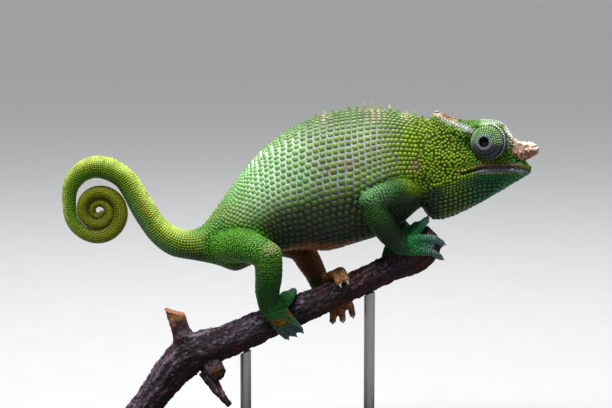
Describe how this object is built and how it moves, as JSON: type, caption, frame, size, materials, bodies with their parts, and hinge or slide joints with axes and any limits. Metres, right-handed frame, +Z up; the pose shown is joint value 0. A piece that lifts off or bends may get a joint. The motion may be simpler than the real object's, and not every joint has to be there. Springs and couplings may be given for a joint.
{
  "type": "Fischer's chameleon model",
  "caption": "Life-size still model of a Fischer's chameleon climbing a cut branch, tail coiled, on a flat display base with rods.",
  "frame": {"origin": "centre of the underside of the base plate, on the floor", "axes": "+X the way the animal faces, +Y its left side, +Z up"},
  "size_m": [0.1896, 0.062, 0.1401],
  "materials": {
    "skin": "satin, scaled",
    "lid": "fine granular",
    "eye": "wet gloss",
    "horn": "satin, knobbly",
    "bark": "rough bark",
    "stand": "satin dark stain",
    "rod": "brushed"
  },
  "bodies": {
    "root": {"eye_turret_left": "lid", "eye_turret_right": "lid", "eyeball_left": "eye", "eyeball_right": "eye", "foreleg_left_foot": "skin", "foreleg_left_lower": "skin", "foreleg_left_upper": "skin", "foreleg_right_foot": "skin", "foreleg_right_lower": "skin", "foreleg_right_upper": "skin", "hindleg_left_foot": "skin", "hindleg_left_lower": "skin", "hindleg_left_upper": "skin", "hindleg_right_foot": "skin", "hindleg_right_lower": "skin", "hindleg_right_upper": "skin", "horn_left": "horn", "horn_right": "horn", "lower_jaw": "skin", "neck": "skin", "perch": "bark", "skull": "skin", "stand_base": "stand", "stand_rod_1": "rod", "stand_rod_2": "rod", "tail_arch": "skin", "tail_base": "skin", "tail_coil_inner": "skin", "tail_coil_outer": "skin", "tail_rise": "skin", "torso": "skin"}
  },
  "joints": []
}
